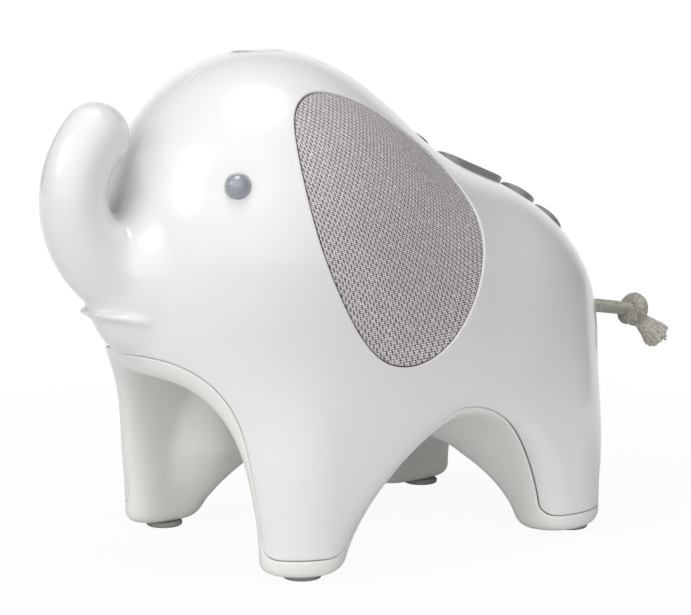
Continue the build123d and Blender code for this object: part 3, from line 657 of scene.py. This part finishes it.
def panel(points, triangles, region, roll, depth, sink=0.0):
    """A moulded panel from the skin where a region is positive, with rolled edges and an inner wall."""
    def across(p):
        """The slope of the region along the skin."""
        normal, slope = unit(slope_of(elephant, p)), slope_of(region, p)
        return slope - (slope * normal).sum(-1, keepdims=True) * normal

    value = region(points)
    near = np.abs(value) < edge_band
    value[near] /= np.maximum(np.linalg.norm(across(points[near]), axis=-1), least_slope)
    points, triangles, rim = kept(points, triangles, value - roll(points))
    points = settled(points, elephant)
    normal = unit(slope_of(elephant, points))
    edge, rim = np.unique(rim, return_inverse=True)
    rim = rim.reshape(-1, 2)
    slope = across(points[edge])
    outward = -slope / np.maximum(np.linalg.norm(slope, axis=-1, keepdims=True), 1e-9)
    bend = roll(points[edge])[:, None]
    rings = []
    for turn in (pi / 6, pi / 3, pi / 2):
        rings.append(points[edge] + outward * bend * sin(turn) - normal[edge] * bend * (1 - cos(turn)))
    rings.append(points[edge] + outward * bend - normal[edge] * depth)
    count, band = len(points), len(edge)
    rows = [edge] + [count + k * band + np.arange(band) for k in range(len(rings))]
    rows.append(count + len(rings) * band + edge)
    faces = [triangles, triangles[:, ::-1] + count + len(rings) * band]
    for high, low in zip(rows, rows[1:]):
        a, b = rim.T
        faces.append(np.stack([high[b], high[a], low[a]], -1))
        faces.append(np.stack([high[b], low[a], low[b]], -1))
    every = np.concatenate([points, *rings, points - normal * depth])
    normals = np.concatenate([normal] + [normal[edge]] * len(rings) + [normal])
    return every - normals * sink, np.concatenate(faces)


ear_box = ((-44.4, 66.3), (73.5, 85.7))
ear_shares = (
    (0.468, 0.000), (0.664, 0.053), (0.823, 0.180), (0.937, 0.335), (1.000, 0.515), (0.951, 0.638),
    (0.829, 0.749), (0.648, 0.846), (0.478, 0.934), (0.318, 0.987), (0.182, 1.000), (0.074, 0.948),
    (0.011, 0.813), (0.001, 0.662), (0.030, 0.475), (0.116, 0.271), (0.244, 0.097), (0.346, 0.023),
)


def closed_curve(points, count):
    """Even points on a smooth closed curve through a few."""
    points = np.asarray(points, float)
    n = len(points)
    gaps = np.linalg.norm(np.roll(points, -1, 0) - points, axis=1)
    matrix, known = np.zeros((n, n)), np.zeros((n, 2))
    for i in range(n):
        before, after = (i - 1) % n, (i + 1) % n
        matrix[i, before] += gaps[before]
        matrix[i, i] += 2 * (gaps[before] + gaps[i])
        matrix[i, after] += gaps[i]
        known[i] = 6 * ((points[after] - points[i]) / gaps[i] - (points[i] - points[before]) / gaps[before])
    bends = np.linalg.solve(matrix, known)
    curve = []
    for i in range(n):
        after, gap = (i + 1) % n, gaps[i]
        for share in np.linspace(0, 1, count // n, endpoint=False):
            a, b = (1 - share) * gap, share * gap
            bent = bends[i] * a**3 / (6 * gap) + bends[after] * b**3 / (6 * gap)
            near, far = points[i] / gap - bends[i] * gap / 6, points[after] / gap - bends[after] * gap / 6
            curve.append(bent + near * a + far * b)
    return np.array(curve)


ear_curve = closed_curve(np.array(ear_box[0]) + np.array(ear_shares) * np.array(ear_box[1]), 360)
ear_step, ear_margin = 0.5, 14
ear_axes = [np.arange(a - ear_margin, a + b + ear_margin, ear_step) for a, b in zip(*ear_box)]
ear_grid = np.stack(np.meshgrid(*ear_axes, indexing="ij"), -1).reshape(-1, 2)
ear_away, ear_odd = np.full(len(ear_grid), 1e9), np.zeros(len(ear_grid), bool)
for start, end in zip(ear_curve, np.roll(ear_curve, -1, 0)):
    run = end - start
    share = np.clip((ear_grid - start) @ run / (run @ run), 0, 1)
    ear_away = np.minimum(ear_away, np.linalg.norm(ear_grid - start - share[:, None] * run, axis=1))
    between = (start[1] > ear_grid[:, 1]) != (end[1] > ear_grid[:, 1])
    crossing = start[0] + (ear_grid[:, 1] - start[1]) * run[0] / (run[1] if run[1] else 1e-9)
    ear_odd ^= between & (ear_grid[:, 0] < crossing)
ear_away = np.where(ear_odd, -ear_away, ear_away).reshape(len(ear_axes[0]), len(ear_axes[1]))


def ear_edge(p):
    """Distance outside the ear's outline, seen from the side."""
    place = [(p[..., k] - axis[0]) / ear_step for k, axis in zip((0, 2), ear_axes)]
    cell = [np.clip(q.astype(int), 0, len(axis) - 2) for q, axis in zip(place, ear_axes)]
    u, v = [np.clip(q - c, 0, 1) for q, c in zip(place, cell)]
    i, j = cell
    low = ear_away[i, j] * (1 - u) + ear_away[i + 1, j] * u
    high = ear_away[i, j + 1] * (1 - u) + ear_away[i + 1, j + 1] * u
    return low * (1 - v) + high * v


spine_place, spine_tilt = np.array([66.0, 0.0, 117.5]), radians(29.0)
spine_along = np.array([cos(spine_tilt), 0, -sin(spine_tilt)])
spine_up = np.array([sin(spine_tilt), 0, cos(spine_tilt)])
button_width, long_button = 13.6, 28.0
button_places = {"light": -36.5, "melody": -8.5, "louder": 16.0, "softer": 32.6}
window_x, window_radius = -29.5, 9.6
rope_hole_radius = 2.75
eye_radius, eye_proud, eye_hole_radius = 4.25, 3.0, 3.45
seam_z, seam_gap, seam_blend, seam_corners = 8.1, 0.25, 6.0, (7.5, 4.2)
seam_reaches, seam_top, seam_powers = (46.0, 38.7), 50.4, (1.5, 1.97)
seam_half, chest_seam_top, chest_seam_power = 40.6, 69.6, 4.0
crown_low, back_low, rump_x, nowhere = 140.0, -20.0, 90.0, 50.0
button_gap, middle_gap, sharp_edge, soft_edge = 0.35, 0.08, 0.12, 0.5
shell_wall, middle_blend, ear_blend, hole_blend = 1.8, 0.3, 1.0, 0.6
sharp_half, sharp_run = 0.6, 3.0


def straight_half(name):
    """Half the length of the straight sides of a button's outline."""
    return (long_button - button_width) / 2 if name == "melody" else 0.0


def seam(p):
    """Distance above the seam between shell and underbody, its corners rounder on the front feet."""
    corner = np.where(p[..., 0] < side_arch_x, *seam_corners)
    across = side_arch(p, seam_reaches, seam_top, seam_powers)
    along_body = front_arch(p, seam_half, chest_seam_top, chest_seam_power)
    return least(least(across, along_body, seam_blend), p[..., 2] - seam_z, corner)


def shell_region(p):
    """Where the right shell is: above the seam, beside the middle and outside its openings."""
    region = least(seam(p) - seam_gap / 2, p[..., 1] - middle_gap, middle_blend)
    region = least(region, ear_edge(p), ear_blend)
    local = p - spine_place
    u, w = local @ spine_along, local @ spine_up
    for name, place in button_places.items():
        past_sides = np.maximum(np.abs(u - place) - straight_half(name), 0)
        hole = np.hypot(past_sides, p[..., 1]) - button_width / 2 - button_gap
        region = least(region, np.where(w > back_low, hole, nowhere), hole_blend)
    window = np.hypot(p[..., 0] - window_x, p[..., 1]) - window_radius
    region = least(region, np.where(p[..., 2] > crown_low, window, nowhere), hole_blend)
    tail_hole = np.hypot(p[..., 1], p[..., 2] - rope_route[0][2]) - rope_hole_radius
    region = least(region, np.where(p[..., 0] > rump_x, tail_hole, nowhere), hole_blend)
    eye_hole = np.linalg.norm(np.cross(p - eye_place, eye_out), axis=-1) - eye_hole_radius
    return least(region, np.where(p[..., 1] > 0, eye_hole, nowhere), middle_blend)


def shell_roll(p):
    """Radius of the shell's edges: sharp where its halves meet and at the window, softer elsewhere."""
    below = np.where(p[..., 2] > crown_low, 0, nowhere)
    from_window = np.hypot(p[..., 0] - window_x, p[..., 1]) + below - window_radius
    from_middle = p[..., 1] - sharp_half
    softer = np.clip(from_middle / sharp_run, 0, 1) * np.clip(from_window / sharp_run - 1, 0, 1)
    return sharp_edge + (soft_edge - sharp_edge) * softer


def mirrored(points, faces):
    return points * (1, -1, 1), faces[:, ::-1]


skin_low, skin_high, skin_step = (-112, -3, 0), (112, 62, 168), 1.3
half_points, half_triangles = skin_of(elephant, skin_low, skin_high, skin_step)


def moulded(name, tints, rough, rough_spread, coat, coat_rough):
    """A moulded plastic: faint clouds in its colour, a fine grain in its gloss and a clear coat."""
    made, place, shader = material(name)
    cloud, grain = noise(place, 14.0, 3.0), noise(place, 1500.0, 2.0)
    feed(shader, base_color=cloud.tint(*tints), roughness=grain * rough_spread + rough, coat_weight=coat,
         coat_roughness=coat_rough)
    return made


pearl_tints = (0.80, 0.80, 0.795), (0.86, 0.86, 0.855)
pearl = moulded("pearl_shell", pearl_tints, 0.24, 0.05, 0.6, 0.1)
points, faces = panel(half_points, half_triangles, shell_region, shell_roll, shell_wall)
add_piece("upper_shell_right", points, faces, pearl, "shell_right")
points, faces = mirrored(points, faces)
add_piece("upper_shell_left", points, faces, pearl, "shell_left")

door_x, door_half, door_gap, door_low = (-26.05, 54.05), 22.0, 0.3, 40.0


def even_edge(radius):
    """An edge radius that is the same all round a panel."""
    return lambda p: np.full(len(p), radius)


def underbody_region(p):
    """Where the underbody is: below the seam and round the battery door."""
    ahead = np.maximum(door_x[0] - p[..., 0], p[..., 0] - door_x[1])
    door = np.maximum(ahead, np.abs(p[..., 1]) - door_half) - door_gap
    return least(-seam(p) - seam_gap / 2, np.where(p[..., 2] > door_low, door, nowhere), hole_blend)


satin_tints = (0.84, 0.83, 0.805), (0.89, 0.88, 0.855)
satin = moulded("satin_underbody", satin_tints, 0.34, 0.1, 0.15, 0.3)
points, triangles, _ = kept(half_points, half_triangles, half_points[:, 1].copy())
points, faces = panel(points, triangles, underbody_region, even_edge(soft_edge), shell_wall)
on_middle = np.abs(points[:, 1]) < 1e-4
points[on_middle, 1] = 0
twin = np.where(on_middle, np.arange(len(points)), len(points) + np.cumsum(~on_middle) - 1)
both = np.concatenate([points, points[~on_middle] * (1, -1, 1)])
add_piece("underbody_vault", both, np.concatenate([faces, twin[faces][:, ::-1]]), satin,
          "underbody")

# Ears: grey woven cloth stretched over a slotted grille, which is clipped into an opening in each
# shell, so the cloth lies just below the shell's rolled edge.
cloth, place, shader = material("ear_weave")
thread = place.node("UVMap", {"uv_map": "weave"})
across_thread = thread.node("SeparateXYZ", (), {0: thread})
along_thread = Channel(across_thread.tree, across_thread.socket.node.outputs[1])
wander = noise(thread, 0.45, 2.0) - 0.5
fine = noise(thread, 2.4, 3.0)
blotch = noise(thread, 0.05, 3.0)


def wave(channel):
    phase = (channel + wander * 0.35) * (2 * pi)
    return phase.math("COSINE", phase)


warp, weft, twill = wave(across_thread), wave(along_thread), wave(across_thread + along_thread)
rib = wave((across_thread - along_thread) * 2.0)
tight = noise(thread, 0.9, 2.0).clip(0.1, 0.5)
# The dark dots are the openings of the weave, painted near black: partly the dark grille seen through them
# and partly painted shade inside them.
hole = (twill * 0.55 + rib * 0.7 + (warp + weft) * 0.36).clip(-0.55, 0.95) * tight
yarn = (fine * 0.8 + blotch * 0.2).clip(0.3, 0.7).tint((0.69, 0.64, 0.655), (0.96, 0.892, 0.912))
feed(shader, base_color=(hole * 0.86).tint(yarn, (0.02, 0.019, 0.019)), roughness=0.85,
     sheen_weight=0.25, sheen_roughness=0.4, normal=bump(fine * 0.3 - hole, 0.0003))
cloth_sink, cloth_thickness, cloth_edge = 0.4, 0.8, 0.3
threads_per_mm = np.array([[0.602, 0.462], [-0.329, 0.579]])


def cloth_region(p):
    return -ear_edge(p) - cloth_edge


points, faces = panel(half_points, half_triangles, cloth_region, even_edge(cloth_edge), cloth_thickness,
                      cloth_sink)
for side, (p, f) in {"right": (points, faces), "left": mirrored(points, faces)}.items():
    piece = add_piece("ear_cloth_panel_" + side, p, f, cloth, "ear_cloth_" + side)
    out = unit(p - np.array(head_centre))
    tilt = np.arccos(np.clip(np.abs(out[:, 1]), 0, 1))
    flat = tilt * head_radii[1] / np.maximum(np.hypot(out[:, 0], out[:, 2]), 1e-6)
    spread = out[:, [0, 2]] * flat[:, None]
    uv = piece.data.uv_layers.new(name="weave")
    loops = np.zeros(len(piece.data.loops), int)
    piece.data.loops.foreach_get("vertex_index", loops)
    uv.data.foreach_set("uv", (spread @ threads_per_mm)[loops].astype(np.float32).ravel())
    "ear_grille_" + side


# Eyes: solid beads of glossy grey plastic, turned smooth, each on a short stem that is pressed
# into a hole in the middle of a shallow dish in the cheek.
def lathe(profile, count=48):
    """A turned form about Z from radius and height pairs, closed where the radius is zero."""
    points, faces, rows = [], [], []
    for radius, height in profile:
        if radius < 1e-6:
            rows.append([len(points)] * count)
            points.append((0, 0, height))
            continue
        rows.append(list(range(len(points), len(points) + count)))
        for step in range(count):
            turn = 2 * pi * step / count
            points.append((radius * cos(turn), radius * sin(turn), height))
    for high, low in zip(rows, rows[1:]):
        for step in range(count):
            ahead = (step + 1) % count
            face = [high[step], low[step], low[ahead], high[ahead]]
            faces.append(list(dict.fromkeys(face)))
    return np.array(points, float), faces


def stood(points, place, up):
    """Points turned so that their Z axis points along a direction, and moved to a place."""
    side = unit(np.cross((0.0, 1.0, 0.0), up))
    return points @ np.stack([side, np.cross(up, side), up]) + place


def rounded(corner, radius, start, end, steps=5):
    """Points of a round edge about a centre, from one angle to another in degrees."""
    turns = np.radians(np.linspace(start, end, steps))
    return [(corner[0] + radius * cos(t), corner[1] + radius * sin(t)) for t in turns]


bead, place, shader = material("grey_bead")
mist = noise(place, 300.0, 2.0)
feed(shader, base_color=mist.tint((0.31, 0.325, 0.37), (0.355, 0.37, 0.415)), roughness=0.2,
     coat_weight=0.8, coat_roughness=0.05)
bead_low, stem_radius, stem_low = 4.0, 3.35, -2.6
profile = rounded((0, eye_proud - eye_radius), eye_radius, 90, bead_low, 22)
profile[0] = (0, eye_proud)
profile += [(stem_radius, profile[-1][1]), (stem_radius, stem_low), (0, stem_low)]
points, faces = lathe(profile, 64)
points = stood(points, eye_place, eye_out)
add_piece("eye_bead_right", points, faces, bead, "eye_right")
add_piece("eye_bead_left", points * (1, -1, 1), [f[::-1] for f in faces], bead, "eye_left")

# Buttons: satin grey silicone caps with soft edges that stand proud of slots down the back.
# Each follows the curve of the back and is pressed square to the board below it.
silicone, place, shader = material("grey_silicone")
dust = noise(place, 900.0, 3.0)
feed(shader, base_color=noise(place, 60.0).tint((0.225, 0.228, 0.228), (0.265, 0.268, 0.268)),
     roughness=dust * 0.1 + 0.26, coat_weight=0.35, coat_roughness=0.15, normal=bump(dust, 0.00002))
button_prouds = {"light": 2.05, "melody": 2.6, "louder": 2.8, "softer": 3.6}
button_edge, button_foot, button_crown, button_sides, back_reach = 0.4, 3.6, 0.25, 80, 40.0


def on_spine(u, v, w):
    """Places along, across and above the plane of the back."""
    across = v[..., None] * np.array([0, 1.0, 0])
    return spine_place + u[..., None] * spine_along + w[..., None] * spine_up + across


def height_on_back(u, v):
    """Height of the skin above the spine's plane."""
    far = np.full_like(u, back_reach)
    return to_skin(lambda w: on_spine(u, v, w), -far, far)


for name, place_u in button_places.items():
    half = button_width / 2
    flat = half - button_edge
    rings = [(share * flat, button_crown * (1 - share**2)) for share in (0.04, 0.3, 0.55, 0.8, 1.0)]
    rings += [(flat + button_edge * sin(t), -button_edge * (1 - cos(t)))
              for t in np.radians((22.5, 45, 67.5, 90))]
    rings += [(half, -button_prouds[name]), (half, -button_prouds[name] - button_foot)]
    turn = (np.arange(button_sides) + 0.5) * 2 * pi / button_sides
    shift = np.sign(np.cos(turn)) * straight_half(name)
    rows = []
    for radius, drop in rings:
        u, v = place_u + shift + radius * np.cos(turn), radius * np.sin(turn)
        w = height_on_back(u, v) + button_prouds[name] + drop
        rows.append(on_spine(u, v, w))
    ids, faces = tube_faces(len(rows), button_sides)
    lid, base = ids[0].tolist(), ids[-1].tolist()
    order = np.roll(range(button_sides), -button_sides // 4).tolist()
    for k in range(button_sides // 2 - 1):
        a, b, c, d = order[k], order[k + 1], order[-2 - k], order[-1 - k]
        faces.append(list(dict.fromkeys([lid[a], lid[b], lid[c], lid[d]])))
        faces.append(list(dict.fromkeys([base[d], base[c], base[b], base[a]])))
    button = "button_" + name
    add_piece("cap_" + name, np.concatenate(rows), faces, silicone, button, body=button)


# Projector window: a ring of white gloss plastic set flush into a round hole in the crown, its inner
# lip rounded, with a moulded frosted lens seated below the lip.
neck_z, above_z = 100.0, 200.0


def height_over(x, y):
    """Height of the skin on top of the head."""
    low, high = np.full_like(x, neck_z), np.full_like(x, above_z)
    return to_skin(lambda z: np.stack([x, y, z], -1), low, high)


crown_z = height_over(np.array(window_x), np.array(0.0))
ring_white, place, shader = material("white_ring")
feed(shader, base_color=noise(place, 40.0).tint((0.74, 0.74, 0.735), (0.79, 0.79, 0.785)), roughness=0.22,
     coat_weight=0.5, coat_roughness=0.08)
ring_out, ring_in, ring_depth, ring_lip, ring_edge, lens_seat = 9.5, 7.9, 25.0, 0.8, 0.12, 4.4
profile = [(ring_in, -ring_depth), (ring_out, -ring_depth)]
profile += rounded((ring_out - ring_edge, -ring_edge), ring_edge, 0, 90, 4)
profile += rounded((ring_in + ring_lip, -ring_lip), ring_lip, 90, 180, 8)
profile += [(ring_in, -lens_seat), (ring_in, -ring_depth)]
points, faces = lathe(profile, 72)
points = points + (window_x, 0, 0)
points[:, 2] += height_over(points[:, 0], points[:, 1])
add_piece("window_ring", points, faces, ring_white, "projector_bezel")
frost, place, shader = material("frosted_lens")
speck = noise(place, 2500.0, 2.0)
feed(shader, base_color=speck.tint((0.80, 0.82, 0.83), (0.87, 0.88, 0.89)), roughness=0.22,
     transmission_weight=0.55, ior=1.49, normal=bump(speck, 0.00002))
lens_radius, lens_sink, lens_edge, lens_crown, lens_rim = 7.8, 4.0, 1.6, 1.8, 0.25
lens_ball = (lens_radius**2 + lens_crown**2) / (2 * lens_crown)
profile = []
for r in np.linspace(0, lens_radius - lens_rim, 12):
    profile.append((r, sqrt(lens_ball**2 - r * r) - lens_ball + lens_crown - lens_sink))
profile += [(lens_radius, -lens_sink - lens_rim), (lens_radius, -lens_sink - lens_edge),
            (0, -lens_sink - lens_edge)]
points, faces = lathe(profile, 64)
add_piece("window_lens", points + (window_x, 0, crown_z), faces, frost, "projector_lens")

# Feet: four moulded pads of grey rubber with rounded lower edges and a shallow round groove below,
# glued under the soles over the heads of the screws.
rubber, place, shader = material("grey_rubber")
crumb = noise(place, 1400.0, 3.0)
feed(shader, base_color=crumb.tint((0.30, 0.30, 0.295), (0.38, 0.38, 0.37)), roughness=0.72,
     normal=bump(crumb, 0.00004))
pad_radius, pad_height, pad_edge, pad_slope = 6.2, 1.8, 0.7, 0.5
groove_radii, groove_depth = (3.4, 3.1, 2.6, 2.3), 0.25
foot_x, foot_y = {"front": -41.0, "rear": 71.0}, {"left": -42.0, "right": 42.0}
profile = [(0, pad_height), (pad_radius - pad_slope, pad_height), (pad_radius, pad_height - pad_slope)]
profile += rounded((pad_radius - pad_edge, pad_edge), pad_edge, 0, -90, 6)
profile += list(zip(groove_radii, (0.0, groove_depth, groove_depth, 0.0))) + [(0, 0.0)]
points, faces = lathe(profile, 56)
for end, x in foot_x.items():
    for side, y in foot_y.items():
        name, placed = end + "_" + side, points + (x, y, 0)
        add_piece("rubber_foot_" + name, placed, faces, rubber, "foot_pad_" + name)


# Inside and belly: the moulded, pressed and soldered pieces that stay as they are made, finished
# after their materials: satin plastics, lacquered boards, zinc and nickel plate, black cone and foam.
def dressed(name, dark, pale, rough, grain, metal, *nodes):
    """One finish with a fine grain, given to carried-over pieces."""
    finish, place, shader = material(name)
    speckle = noise(place, grain, 3.0)
    feed(shader, base_color=speckle.clip(0.3, 0.7).tint(dark, pale), roughness=speckle * 0.15 + rough,
         metallic=metal, normal=bump(speckle, 0.00003))
    for node in nodes:
        cad[node].data.materials.clear()
        cad[node].data.materials.append(finish)


dressed("door_satin", *satin_tints, 0.30, 900.0, 0.0, "battery_door")
dressed("grille_grey", (0.10, 0.10, 0.10), (0.14, 0.14, 0.14), 0.5, 800.0, 0.0,
        "ear_grille_left", "ear_grille_right")
dressed("box_satin", (0.60, 0.60, 0.58), (0.66, 0.66, 0.64), 0.4, 900.0, 0.0, "battery_box")
dressed("board_lacquer", (0.01, 0.07, 0.03), (0.02, 0.10, 0.045), 0.3, 500.0, 0.0,
        "main_board", "lamp_board")
dressed("black_mouldings", (0.012, 0.012, 0.013), (0.03, 0.03, 0.032), 0.4, 900.0, 0.0,
        "board_parts", "tact_switches")
dressed("zinc_screws", (0.42, 0.42, 0.43), (0.58, 0.58, 0.59), 0.25, 700.0, 1.0,
        "foot_screws", "board_screws", "door_screw")
dressed("nickel_springs", (0.52, 0.52, 0.52), (0.66, 0.66, 0.65), 0.2, 700.0, 1.0, "battery_contacts")
dressed("bright_reflector", (0.70, 0.70, 0.71), (0.80, 0.80, 0.81), 0.08, 300.0, 1.0,
        "projector_reflector")
dressed("lamp_resin", (0.82, 0.78, 0.58), (0.88, 0.84, 0.66), 0.2, 300.0, 0.0, "lamp")
dressed("cell_sleeve", (0.06, 0.075, 0.09), (0.09, 0.11, 0.13), 0.25, 200.0, 0.3,
        "battery_1", "battery_2", "battery_3")
dressed("speaker_enamel", (0.012, 0.012, 0.013), (0.025, 0.025, 0.027), 0.35, 500.0, 0.4,
        "speaker_basket", "speaker_magnet")
dressed("speaker_paper", (0.008, 0.008, 0.009), (0.022, 0.022, 0.024), 0.75, 1200.0, 0.0, "speaker_cone")
dressed("black_foam", (0.012, 0.012, 0.012), (0.035, 0.035, 0.035), 0.9, 1500.0, 0.0, "speaker_gasket")
dressed("plug_rubber", (0.12, 0.12, 0.118), (0.18, 0.18, 0.175), 0.7, 1200.0, 0.0, "tail_plug")
